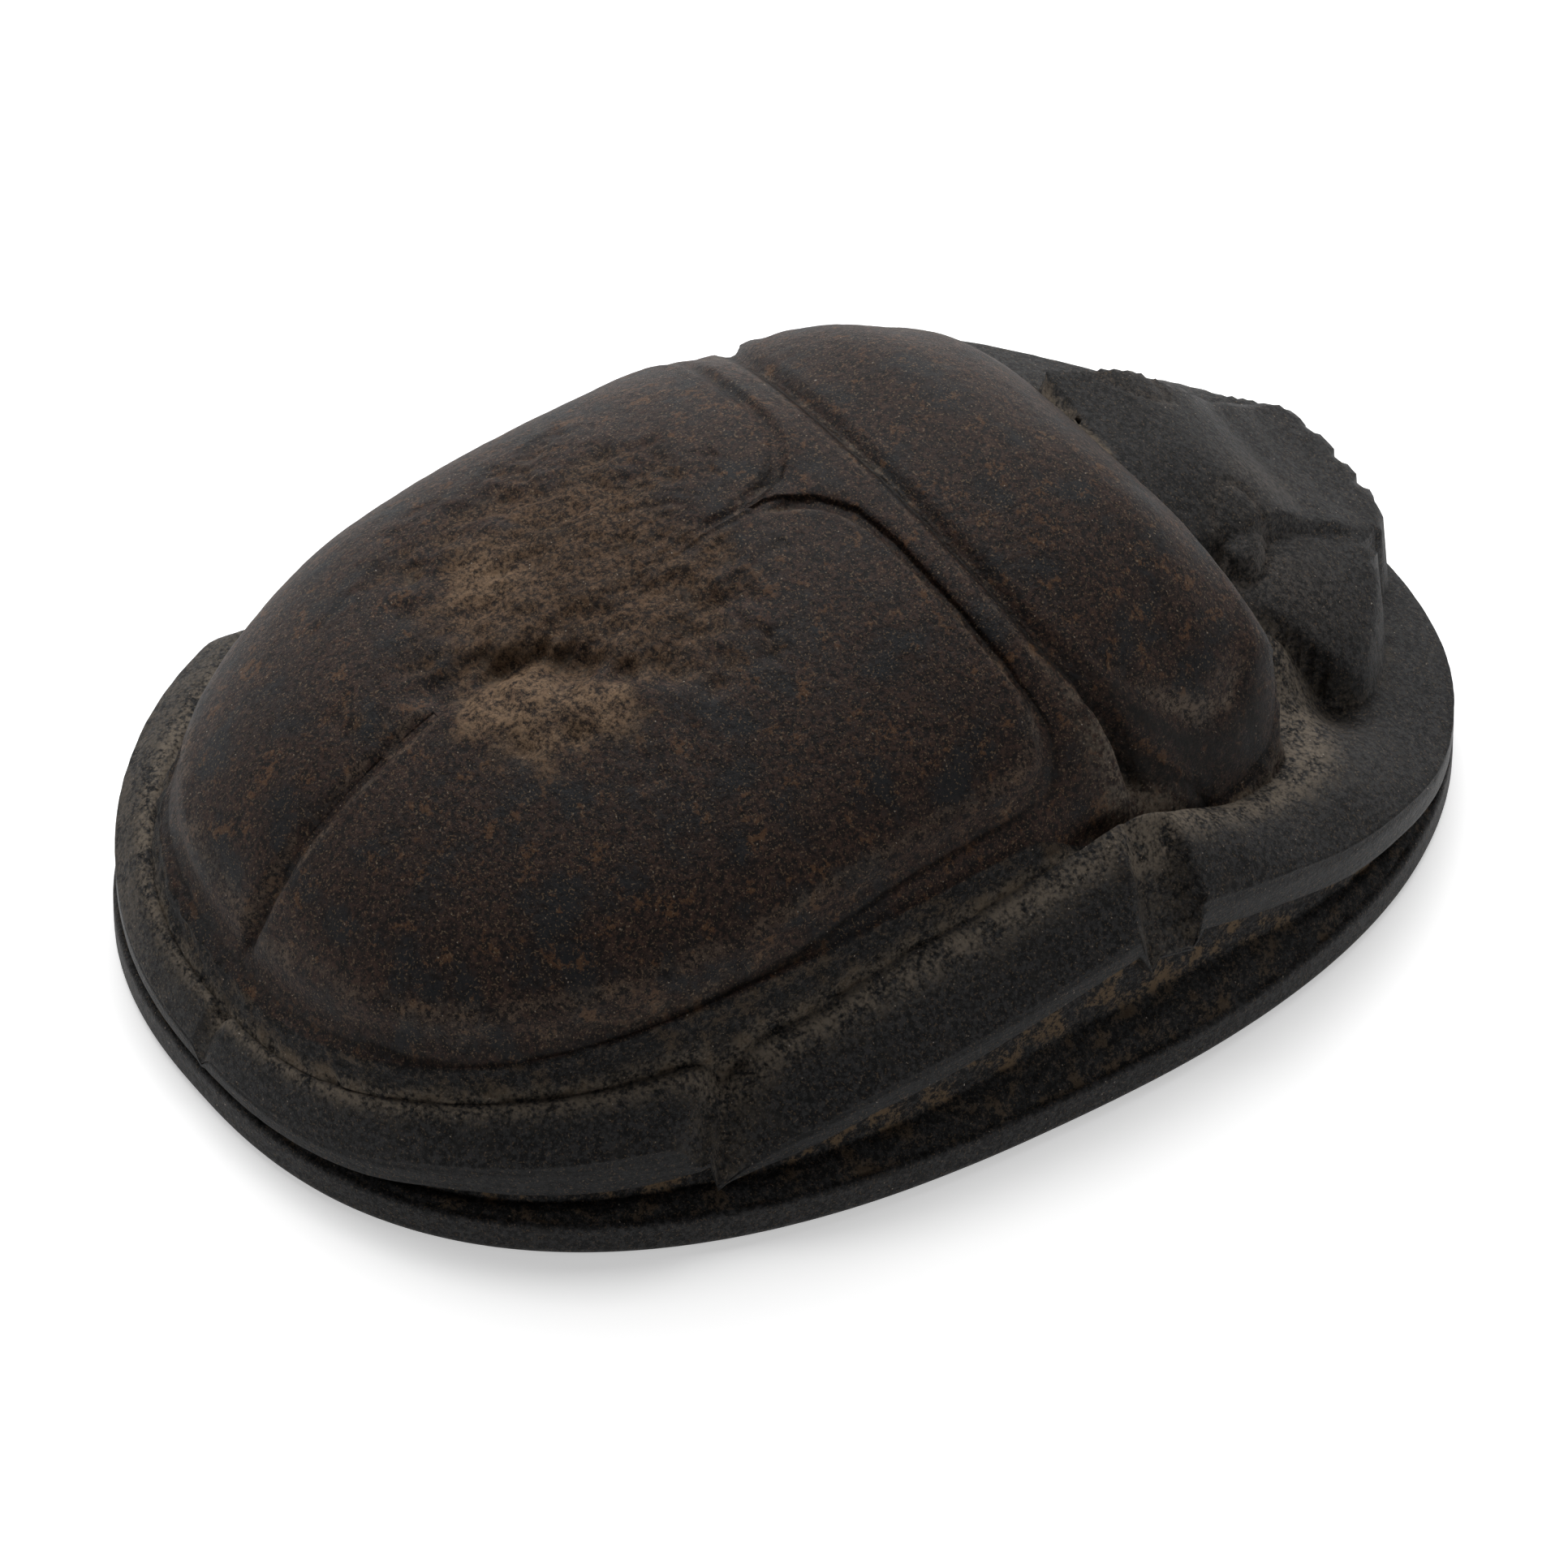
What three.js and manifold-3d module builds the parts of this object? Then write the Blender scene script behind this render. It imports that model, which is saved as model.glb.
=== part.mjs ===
// A carved stone scarab: a beetle lying on an oval base plate, in one solid piece.
// Millimetres. +Y is towards the head, +X is the beetle's right flank, +Z is up.
// The origin is at the middle of the flat underside.
import * as THREE from 'three';
import { mergeVertices } from 'three/addons/utils/BufferGeometryUtils.js';
import Module from 'manifold-3d';

const wasm = await Module();
wasm.setup();

// ---- Driving dimensions ----

// Oval base plate: its ends are different half ovals that meet at the widest line.
const BASE_HALF_WIDTH = 20.3;
const BASE_WIDEST_Y = -0.95;
const BASE_FRONT = 28.95;
const BASE_BACK = 27.05;
const BASE_SQUARENESS = 2.4;
const BASE_RIM_HEIGHT = 1.7;
const BASE_EDGE_ROUND = 0.5;

// Undercut groove between the base plate and the legs.
const GROOVE_DEPTH = 0.75;
const LEDGE_INSET = 0.25;

// Flange: the low border that the wing cases stand on.
const FLANGE_HALF_WIDTH = 15.6;
const FLANGE_BACK = 23.3;
// Wing cases: two cushions side by side behind the thorax.
const WING_WIDEST_Y = -3;
const WING_SQUARENESS = 2.6;
const WING_RISE = 0.6;
const WING_CORNER = 3.4;
const SUTURE_HALF_WIDTH = 0.42;
const WING_MIDDLE = { x: 7.4, y: -9 };

// Thorax: one broad cushion across the body, in front of a narrow collar.
const THORAX_REAR_Y = 3.6;
const THORAX_SKEW = 0.035;
const THORAX_FRONT_Y = 14.6;
const THORAX_BOW = 0.011;
const THORAX_FRONT_BOW = 0.0085;
const THORAX_RISE = 0.75;
const THORAX_FRONT_CORNER = 5;
const THORAX_REAR_CORNER = 6.5;
const THORAX_ROLL = 2.2;
const THORAX_ROLL_WIDTH = 3;
const THORAX_ROLL_START_Y = 1;
const THORAX_OVERHANG = 1.6;
const THORAX_LEAN = 0.08;
const THORAX_SINK = 0.15;
const LEFT_TAIL_SINK = 0.5;
const COLLAR_WIDTH = 2.25;
const COLLAR_DROP = 0.5;
const SADDLE_HEIGHT = 10.5;
const SADDLE_START_X = 11.5;
const SADDLE_CORNER = 3;
const EDGE_ROUND = 0.9;

// Rows of a cushion: shares of the way out over the dome, then distances in from the edge.
const DOME_SHARES = [0, 0.28, 0.52, 0.72, 0.88];
const EDGE_INSETS = [1.1, 0.45, 0];

// Head: a raised middle that ends in a notched shovel, with a flat plate and an eye on each side.
// It leans down to the right.
const SHOVEL_CENTRE_X = -0.4;
const SHOVEL_HALF_WIDTH = 4.75;
const SHOVEL_TIP_Y = 27.5;
const PLATE_CORNER_Y = 25.3;
const HEAD_REAR_Y = 12;
const HEAD_LEAN = 0.11;
const HEAD_MIDDLE_FLARE = 0.8;
const TOOTH_PITCH = 1.74;
const TOOTH_START_X = 0.9;
const TEETH_HALF_WIDTH = 5.6;
const TOOTH_DEPTH = 0.35;
const EYE = { x: 4.4, y: 18.8, halfWidth: 0.95, halfLength: 1.9, halfHeight: 1.2, rise: 0.9, turn: -Math.PI / 6 };

// Hollow broken out of the back, across both wing cases.
const HOLLOW = { x: -1.8, y: -9.6, halfWidth: 8.6, halfLength: 7.6, depth: 1.1 };

// Legs: a band round the body, highest beside it, with an unpolished recess at the root.
const LEG_CORE_HEIGHT = 2.4;
const LEG_SWELL = 0.35;
const RECESS_SHARE = 0.16;
const RECESS_DROP = 0.25;
const LEFT_LEG_LIFT = 1.1;
const LEFT_REAR_LEG_LIFT = 0.6;

// Cuts between the legs and behind the head's side plates: corners in plan on the right side,
// with the height and slope of each floor.
const CUTTER_TOP = 22;
const KNEE_CORNERS = [[14.8, -13.2], [19.6, -18.2], [21.0, -14.2], [15.9, -10.4]];
const KNEE_TOP = { x: 13.6, y: -12.2, z: 6.0 };
const KNEE_WAY = { x: 0.7, y: -0.71 };
const KNEE_SLOPE_OUT = 0.42;
const KNEE_SLOPE_ASIDE = 0.62;
const NOTCH_CORNERS = [[15.7, 5.3], [21.2, 3.5], [21.2, 7.4], [16.6, 7.6]];
const NOTCH_TOP = { x: 15.7, z: 9.1 };
const NOTCH_SLOPE = 0.85;
const TAIL_NOTCH_CORNERS = [[-0.3, -29], [0.6, -29], [0.6, -25], [-0.3, -25]];
const TAIL_NOTCH_LOW = { y: -28, z: 1.95 };
const TAIL_NOTCH_SLOPE = 0.45;
const CHEEK_CORNERS = [[8.4, 17.9], [10.6, 18.5], [10.8, 20.4]];
const CHEEK_FLOOR = 5.2;

const SMALLEST_DETAIL = 0.02;

const COLOUR = 0x3d3936;

// ---- Small helpers ----

const clamp = (value, low = 0, high = 1) => Math.min(Math.max(value, low), high);

const ease = (value) => {
  const t = clamp(value);
  return t * t * (3 - 2 * t);
};

// The smaller of two lengths, with the corner between them rounded over the given width.
const roundedMin = (a, b, width) => {
  const overlap = clamp((width - Math.abs(a - b)) / width);
  return Math.min(a, b) - (overlap * overlap * width) / 4;
};

// A profile along the body: a smooth line through [y, value] stations.
const profile = (...stations) => (y) => {
  const last = stations.length - 1;
  if (y <= stations[0][0]) return stations[0][1];
  if (y >= stations[last][0]) return stations[last][1];
  const slope = (i) => (stations[i + 1][1] - stations[i][1]) / (stations[i + 1][0] - stations[i][0]);
  const tangent = (i) => {
    if (i === 0) return slope(0);
    if (i === last) return slope(last - 1);
    const before = slope(i - 1);
    const after = slope(i);
    return before * after <= 0 ? 0 : (2 * before * after) / (before + after);
  };
  const i = stations.findIndex((station) => station[0] > y) - 1;
  const span = stations[i + 1][0] - stations[i][0];
  const t = (y - stations[i][0]) / span;
  const start = (1 + 2 * t) * (1 - t) * (1 - t) * stations[i][1];
  const end = t * t * (3 - 2 * t) * stations[i + 1][1];
  const bend = t * (1 - t) * span * ((1 - t) * tangent(i) - t * tangent(i + 1));
  return start + end + bend;
};

// ---- Heights along the body ----

const spineHeight = profile(
  [-26.3, 6.4], [-25.2, 7.6], [-23.7, 10.1], [-20.2, 13.2], [-16.4, 15.3], [-10, 17.4],
  [-3, 18.7], [3, 19.3], [7, 19.2], [11, 17.9], [14.5, 14.9], [16, 13],
);
const flangeHeight = profile(
  [-26.3, 6.4], [-25.2, 7.2], [-21, 8.2], [-17.6, 9.0], [-12, 10.2], [-5, 11.1],
  [-1, 11.5], [3, 11.9], [5.5, 12.0], [8, 10.9], [10.7, 9.3], [13.3, 8.9], [15.7, 9.6],
);
const shoulderPower = profile([-26, 2], [3, 2], [9, 2.3], [15, 3.4]);
const shoulderFall = profile([-26, 0.6], [-10, 0.66], [3, 0.8], [9, 1.0], [15, 1.15]);

const rearLegHeight = profile([-28, 2.6], [-26, 3.3], [-24, 4.1], [-20, 4.8], [-16, 5.2]);
const middleLegHeight = profile(
  [-16, 2.6], [-15, 3.4], [-11, 4.7], [-8, 5.6], [-4, 6.1], [2, 7.0], [5, 7.5],
);
const frontLegHeight = profile(
  [5, 8.2], [8.5, 7.2], [12, 6.4], [15, 5.5], [18, 4.8], [24, 3.1], [28, 2.6],
);
const legRidgeHeight = profile(
  [-28, 3.2], [-25, 5.2], [-22, 5.9], [-16, 6.6], [-13, 7.0], [-9, 7.7], [-5.7, 8.6],
  [-1.8, 9.2], [1.2, 9.8], [3.5, 10.3], [5.5, 10.6], [8, 9.5], [10.7, 7.9], [13.3, 7.1], [16, 6.7],
);
const legInset = profile(
  [-28, 0.1], [-22, 0.2], [-16, 0.5], [-8, 0.6], [3.5, 1.0], [8, 0.9], [13, 0.5], [18, 0.15], [22, 0],
);
const facetHeight = profile(
  [-28, 0.7], [-24, 1.2], [-18, 1.7], [-15.3, 1.5], [-15, 0.8], [-8, 1.0],
  [4.5, 1.0], [5.5, 1.4], [13, 1.6], [20, 1.3], [28, 0.7],
);
const ledgeHeight = profile(
  [-28, 1.7], [-15, 2.3], [-8, 2.6], [2, 3.3], [8, 3.3], [14, 2.6], [22, 2.0], [28, 1.8],
);

const REAR_LEG_END_Y = -15.2;
const FRONT_LEG_START_Y = 5;

// The left legs stand a little higher than the right ones at the front and the tail.
const legHeight = (x, y) => {
  if (y < REAR_LEG_END_Y) return rearLegHeight(y) + LEFT_REAR_LEG_LIFT * ease(-x / 12);
  if (y < FRONT_LEG_START_Y) return middleLegHeight(y);
  return frontLegHeight(y) + LEFT_LEG_LIFT * ease(-x / 12) * ease((y - 8) / 8);
};

// The smooth back of the beetle, as if nothing were carved into it. It is a little lower on the
// left, at the front of the thorax and at the tail.
const backHeight = (x, y) => {
  const behind = Math.min(y - WING_WIDEST_Y, 0) / (FLANGE_BACK - 0.1);
  const taper = clamp(1 - Math.abs(behind) ** WING_SQUARENESS) ** (1 / WING_SQUARENESS);
  const across = clamp(Math.abs(x) / Math.max((FLANGE_HALF_WIDTH - 0.2) * taper, 0.01));
  const spine = spineHeight(y);
  const edge = Math.min(flangeHeight(y), spine);
  const dome = edge + (spine - edge) * (1 - across ** shoulderPower(y)) ** shoulderFall(y);
  const lean = (THORAX_LEAN * Math.min(x, 6) - THORAX_SINK) * ease((y - 7) / 7);
  return dome + lean - LEFT_TAIL_SINK * ease((-x - 4) / 8) * ease((-y - 12) / 8);
};

// ---- Outlines in plan: how far a point lies inside each region ----

const insideOval = (x, y) => {
  const behind = Math.min(y - WING_WIDEST_Y, 0) / FLANGE_BACK;
  const sum = (Math.abs(x) / FLANGE_HALF_WIDTH) ** WING_SQUARENESS + Math.abs(behind) ** WING_SQUARENESS;
  return (1 - sum ** (1 / WING_SQUARENESS)) * FLANGE_HALF_WIDTH;
};

const wingInset = profile(
  [-26, 0.6], [-24, 0.5], [-22, 0.42], [-15, 0.42], [-11, 0.55], [-7, 0.8], [-3, 1.0], [2, 1.1],
);

const thoraxRear = (x) => THORAX_REAR_Y + THORAX_SKEW * x + THORAX_BOW * x * x;
const thoraxFront = (x) => THORAX_FRONT_Y + THORAX_FRONT_BOW * x * x;

// The body narrows towards the front of the thorax.
const bodyHalfWidth = profile([3, 15.6], [7, 15.3], [10, 14.7], [13, 14.1]);

const insideBody = (x, y) => {
  const side = Math.min(insideOval(x, y), bodyHalfWidth(y) - Math.abs(x));
  return roundedMin(side, thoraxFront(x) - y, THORAX_FRONT_CORNER);
};

// The wing case on one side: 1 is the right, -1 the left.
const insideWingCase = (side) => (x, y) => {
  const oval = insideOval(x, y) - wingInset(y);
  const front = thoraxRear(x) - COLLAR_WIDTH - y;
  const suture = side * x - SUTURE_HALF_WIDTH;
  const shieldRound = 4.5 * ease((y + 9) / 8) + 0.2;
  return roundedMin(roundedMin(oval, front, WING_CORNER), suture, shieldRound);
};

const insideThorax = (x, y) => {
  const side = bodyHalfWidth(y) - Math.abs(x);
  const rear = roundedMin(side, y - thoraxRear(x), THORAX_REAR_CORNER);
  return roundedMin(rear, thoraxFront(x) - y, THORAX_FRONT_CORNER);
};

// How far the outer ends of the thorax are rolled over towards the legs.
const thoraxRoll = (x, y) => {
  const fromMiddle = 1 - clamp(insideBody(x, y) / THORAX_ROLL_WIDTH);
  const beside = ease((Math.abs(x) - SADDLE_START_X) / 2) * ease((y - THORAX_ROLL_START_Y) / 4);
  return THORAX_ROLL * (1 - Math.sqrt(1 - fromMiddle ** 2)) * beside;
};

// The back at the level of the collar, with a low saddle behind the thorax's outer corners.
const collarHeight = (x, y) => {
  const height = backHeight(x, y) - COLLAR_DROP;
  const flange = roundedMin(insideOval(x, y), thoraxRear(x) - y, SADDLE_CORNER);
  const outside = -Math.max(flange, insideThorax(x, y));
  const beside = ease((Math.abs(x) - SADDLE_START_X) / 2);
  const saddle = beside * Math.max(height - SADDLE_HEIGHT, 0) * ease(outside / 0.6);
  return height - saddle - thoraxRoll(x, y);
};

const headFront = (x) => {
  const shovel = SHOVEL_TIP_Y - 1.8 * (Math.abs(x - SHOVEL_CENTRE_X) / SHOVEL_HALF_WIDTH) ** 4;
  const beyond = Math.abs(x) - 5;
  const plate = beyond > 0 ? PLATE_CORNER_Y - 0.5 * beyond - 0.045 * beyond ** 2 : 0;
  const wave = Math.abs(Math.sin((Math.PI * (x - TOOTH_START_X)) / TOOTH_PITCH));
  const notch = Math.abs(x) < TEETH_HALF_WIDTH ? TOOTH_DEPTH * (1 - wave) : 0;
  return Math.max(shovel, plate) - notch;
};
const headSide = profile([12, 7.6], [17.6, 7.7], [20.4, 10.1], [21.5, 10.1], [23, 9.3], [25, 6.5], [28, 5.5]);
const headMiddleSide = profile([13, 5.2], [19, 4.6], [22, 3.9], [25, 4.1], [27, 4.4]);

const insideHead = (x, y) => {
  const plan = roundedMin(headFront(x) - y, headSide(y) - Math.abs(x), 1);
  return Math.min(plan, y - HEAD_REAR_Y);
};
const insideHeadMiddle = (x, y) => {
  const plan = Math.min(headFront(x) - y, headMiddleSide(y) - Math.abs(x));
  return Math.min(plan, y - HEAD_REAR_Y - 0.5);
};

// ---- Solids ----

// A closed solid on the grid of a sphere: row 0 is the middle of the top, the last row the middle
// of the underside, and place(turn, row) says where each point goes.
function rings(sides, rows, place) {
  const geometry = new THREE.SphereGeometry(1, sides, rows);
  const position = geometry.attributes.position;
  for (let row = 0; row <= rows; row += 1) {
    for (let side = 0; side <= sides; side += 1) {
      const point = place(-((side % sides) / sides) * 2 * Math.PI, row);
      position.setXYZ(row * (sides + 1) + side, point.x, point.y, point.z);
    }
  }
  return solidFrom(geometry);
}

function solidFrom(geometry) {
  const merged = geometry.clone();
  merged.deleteAttribute('normal');
  merged.deleteAttribute('uv');
  const closed = mergeVertices(merged, 1e-4);
  const mesh = new wasm.Mesh({
    numProp: 3,
    vertProperties: new Float32Array(closed.attributes.position.array),
    triVerts: new Uint32Array(closed.index.array),
  });
  return new wasm.Manifold(mesh);
}

// Walks out from a middle point to where a region ends.
function reach(inside, middle, turn) {
  const direction = new THREE.Vector2(Math.sin(turn), Math.cos(turn));
  let near = 0;
  let far = 40;
  for (let step = 0; step < 30; step += 1) {
    const half = (near + far) / 2;
    const point = direction.clone().multiplyScalar(half).add(middle);
    if (inside(point.x, point.y) > 0) near = half;
    else far = half;
  }
  return direction.multiplyScalar(near);
}

// The directions from a middle point that split a region's outline into equal lengths.
function evenTurns(inside, middle, sides) {
  const fine = sides * 12;
  const turns = [0];
  const lengths = [0];
  let last = reach(inside, middle, 0);
  for (let i = 1; i <= fine; i += 1) {
    const turn = (-i / fine) * 2 * Math.PI;
    const next = reach(inside, middle, turn);
    turns.push(turn);
    lengths.push(lengths[i - 1] + next.distanceTo(last));
    last = next;
  }
  return (share) => turns[lengths.findIndex((length) => length >= share * lengths[fine] - 1e-9)];
}

// A cushion: a domed top over a region with a rounded edge, straight sides, and a flat floor
// buried in the body.
function cushion({ sides, middle, inside, top, floor, flare = () => 0 }) {
  const evenTurn = evenTurns(inside, middle, sides);
  const edgeRow = DOME_SHARES.length;
  const rimRow = edgeRow + EDGE_INSETS.length;
  return rings(sides, rimRow + 1, (turn, row) => {
    if (row === rimRow + 1) return new THREE.Vector3(middle.x, middle.y, floor);
    const direction = evenTurn(-turn / (2 * Math.PI));
    const out = reach(inside, middle, direction);
    const length = out.length();
    let along = length + flare(direction);
    if (row < edgeRow) along = DOME_SHARES[row] * (length - EDGE_INSETS[0]);
    else if (row < rimRow) along = length - EDGE_INSETS[row - edgeRow];
    const x = middle.x + (out.x * along) / length;
    const y = middle.y + (out.y * along) / length;
    return new THREE.Vector3(x, y, row < rimRow ? top(x, y) : floor);
  });
}

function baseOval(turn, inset) {
  const forward = Math.cos(turn);
  const sideways = Math.sin(turn);
  const power = 2 / BASE_SQUARENESS;
  const length = (forward > 0 ? BASE_FRONT : BASE_BACK) - inset;
  const x = (BASE_HALF_WIDTH - inset) * Math.sign(sideways) * Math.abs(sideways) ** power;
  const y = BASE_WIDEST_Y + length * Math.sign(forward) * Math.abs(forward) ** power;
  return new THREE.Vector2(x, y);
}

// Base plate, groove and legs: one drum whose rows follow the oval from the top of the legs
// down the facet, into the groove, out over the ledge and round the rim to the underside.
function baseAndLegs() {
  const centre = new THREE.Vector2(0, BASE_WIDEST_Y);
  const rows = 14;
  return rings(128, rows, (turn, row) => {
    const rim = baseOval(turn, 0);
    const inset = legInset(rim.y);
    const edge = baseOval(turn, inset);
    const wall = baseOval(turn, inset + GROOVE_DEPTH);
    const outward = Math.atan2(edge.x, edge.y - centre.y);
    const root = reach(insideBody, centre, outward).add(centre);
    const edgeZ = legHeight(edge.x, edge.y);
    const lowZ = edgeZ - facetHeight(edge.y);
    const grooveZ = Math.min(ledgeHeight(edge.y), lowZ - 0.2);
    const rootZ = Math.max(legRidgeHeight(root.y), edgeZ + 0.2);
    const at = (plan, z) => new THREE.Vector3(plan.x, plan.y, z);
    const across = (share) => {
      const swell = LEG_SWELL * Math.sin(Math.PI * share);
      return at(root.clone().lerp(edge, share), rootZ + (edgeZ - rootZ) * share + swell);
    };
    return [
      at(centre, LEG_CORE_HEIGHT),
      at(centre.clone().lerp(root, 0.5), LEG_CORE_HEIGHT),
      at(root.clone().lerp(centre, 0.06), LEG_CORE_HEIGHT),
      across(RECESS_SHARE / 2).setZ(rootZ - RECESS_DROP),
      across(RECESS_SHARE),
      across(0.6),
      across(1),
      at(edge, lowZ),
      at(wall, lowZ - 0.1),
      at(wall, grooveZ),
      at(baseOval(turn, LEDGE_INSET), BASE_RIM_HEIGHT),
      at(rim, BASE_RIM_HEIGHT - LEDGE_INSET),
      at(rim, BASE_EDGE_ROUND),
      at(baseOval(turn, BASE_EDGE_ROUND), 0),
      at(centre, 0),
    ][row];
  });
}

// The body under the wing cases and thorax, up to the level of the collar and flange.
function bodyCore() {
  return cushion({
    sides: 88,
    middle: new THREE.Vector2(0, -5),
    inside: insideBody,
    top: collarHeight,
    floor: 2.2,
  });
}

function wingCase(side) {
  const inside = insideWingCase(side);
  const rise = (x, y) => WING_RISE * ease(inside(x, y) / EDGE_ROUND + 0.15);
  return cushion({
    sides: 64,
    middle: new THREE.Vector2(side * WING_MIDDLE.x, WING_MIDDLE.y),
    inside,
    top: (x, y) => backHeight(x, y) - COLLAR_DROP + rise(x, y),
    floor: 5,
  });
}

function thorax() {
  const rise = (x, y) => THORAX_RISE * ease(insideThorax(x, y) / EDGE_ROUND + 0.15);
  return cushion({
    sides: 72,
    middle: new THREE.Vector2(0, 9),
    inside: insideThorax,
    top: (x, y) => backHeight(x, y) - COLLAR_DROP + rise(x, y) - thoraxRoll(x, y),
    floor: 5,
    flare: (turn) => THORAX_OVERHANG * clamp(Math.cos(turn)),
  });
}

const plateRidge = profile([14, 11.1], [18, 10.6], [20.6, 9.8], [23.8, 8.3], [25.5, 7.7], [28, 7.0]);
const plateFall = (x) => 0.075 * Math.max(Math.abs(x) - 4.5, 0) ** 2;
const plateHeight = (x, y) => plateRidge(y) - plateFall(x) - HEAD_LEAN * Math.max(x, 0);
const crestHeight = profile([13, 14.4], [16, 13.4], [19, 12.3], [22, 10.2], [25, 7.9], [27.2, 6.9]);
const crestFall = (x, y) => 0.05 * Math.max(x, 0) ** 2 * clamp((24 - y) / 6);
const HEAD_CENTRE = new THREE.Vector2(0, 20.5);

function headPlates() {
  return cushion({ sides: 88, middle: HEAD_CENTRE, inside: insideHead, top: plateHeight, floor: 2 });
}

function headMiddle() {
  return cushion({
    sides: 64,
    middle: HEAD_CENTRE,
    inside: insideHeadMiddle,
    top: (x, y) => crestHeight(y) - crestFall(x, y) - HEAD_LEAN * x,
    floor: 3,
    flare: (turn) => HEAD_MIDDLE_FLARE * clamp(HEAD_MIDDLE_FLARE - Math.cos(turn)),
  });
}

// A lens-shaped eye on one side, lying slantwise on the side plate.
function eye(side) {
  const lens = new THREE.SphereGeometry(1, 14, 10);
  lens.rotateX(Math.PI / 2);
  lens.scale(EYE.halfLength, EYE.halfWidth, EYE.halfHeight);
  lens.rotateZ(side * EYE.turn);
  const top = plateHeight(side * EYE.x, EYE.y) + EYE.rise;
  lens.translate(side * EYE.x, EYE.y, top - EYE.halfHeight);
  return solidFrom(lens);
}

// ---- Cuts ----

// A straight-sided cutter over a plan outline, with a floor that may slope.
function cutter(outline, floorAt) {
  const shape = new THREE.Shape(outline.map(([x, y]) => new THREE.Vector2(x, y)));
  const block = new THREE.ExtrudeGeometry(shape, { depth: CUTTER_TOP, bevelEnabled: false });
  const position = block.attributes.position;
  for (let i = 0; i < position.count; i += 1) {
    if (position.getZ(i) < CUTTER_TOP / 2) {
      position.setZ(i, floorAt(position.getX(i), position.getY(i)));
    }
  }
  return solidFrom(block);
}

// Between the rear and middle leg: steep on the rear leg, easing up onto the middle leg.
function kneeCrease() {
  return cutter(KNEE_CORNERS, (x, y) => {
    const dx = x - KNEE_TOP.x;
    const dy = y - KNEE_TOP.y;
    const outward = dx * KNEE_WAY.x + dy * KNEE_WAY.y;
    const aside = dy * KNEE_WAY.x - dx * KNEE_WAY.y;
    return KNEE_TOP.z - KNEE_SLOPE_OUT * outward + KNEE_SLOPE_ASIDE * aside;
  });
}

// Between the middle and front leg: a wedge that deepens outwards.
function frontNotch() {
  return cutter(NOTCH_CORNERS, (x) => NOTCH_TOP.z - NOTCH_SLOPE * (x - NOTCH_TOP.x));
}

// Between the two rear legs, at the tail.
function tailNotch() {
  return cutter(TAIL_NOTCH_CORNERS, (x, y) => TAIL_NOTCH_LOW.z + TAIL_NOTCH_SLOPE * (y - TAIL_NOTCH_LOW.y));
}

// Under the rear edge of each side plate of the head.
function cheekPit() {
  return cutter(CHEEK_CORNERS, () => CHEEK_FLOOR);
}

// The broken hollow on the back: a dish with an uneven edge.
function brokenHollow() {
  const shares = [0, 1.1, 0.9, 0.68, 0.36, 0];
  return rings(36, shares.length - 1, (turn, row) => {
    const uneven = 1 + 0.12 * Math.sin(3 * turn + 1) + 0.07 * Math.sin(5 * turn);
    const share = shares[row];
    const x = HOLLOW.x + HOLLOW.halfWidth * uneven * share * Math.sin(turn);
    const y = HOLLOW.y + HOLLOW.halfLength * uneven * share * Math.cos(turn);
    const surface = backHeight(x, y) - COLLAR_DROP + WING_RISE;
    return new THREE.Vector3(x, y, row === 0 ? CUTTER_TOP : surface - HOLLOW.depth * (1 - share ** 2));
  });
}

const mirrored = (solid) => solid.mirror([1, 0, 0]);

const pair = (solid) => solid.add(mirrored(solid));

const beetle = baseAndLegs()
  .add(bodyCore())
  .add(wingCase(1))
  .add(wingCase(-1))
  .add(thorax())
  .add(headPlates())
  .add(headMiddle())
  .add(eye(1))
  .add(eye(-1));

const carved = beetle
  .subtract(pair(kneeCrease()))
  .subtract(pair(frontNotch()))
  .subtract(pair(cheekPit()))
  .subtract(tailNotch())
  .subtract(brokenHollow())
  .simplify(SMALLEST_DETAIL);

// Where surfaces nearly touch the cuts leave specks: only the stone itself is kept.
const largest = (a, b) => (b.volume() > a.volume() ? b : a);
const scarabSolid = carved.decompose().reduce(largest);

function geometryFrom(solid) {
  const mesh = solid.getMesh();
  const geometry = new THREE.BufferGeometry();
  geometry.setAttribute('position', new THREE.BufferAttribute(mesh.vertProperties, 3));
  geometry.setIndex(new THREE.BufferAttribute(mesh.triVerts, 1));
  geometry.computeVertexNormals();
  return geometry;
}

const stone = new THREE.MeshStandardMaterial({ color: COLOUR, roughness: 0.72, metalness: 0 });
const scarab = new THREE.Mesh(geometryFrom(scarabSolid), stone);
scarab.name = 'scarab';

const object = new THREE.Group();
object.add(scarab);

export default object;
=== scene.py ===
"""A carved stone scarab amulet, worn and broken on its back, lying on a pale studio floor."""

import bisect
import math

import bmesh
import bpy
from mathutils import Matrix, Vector, noise


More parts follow.
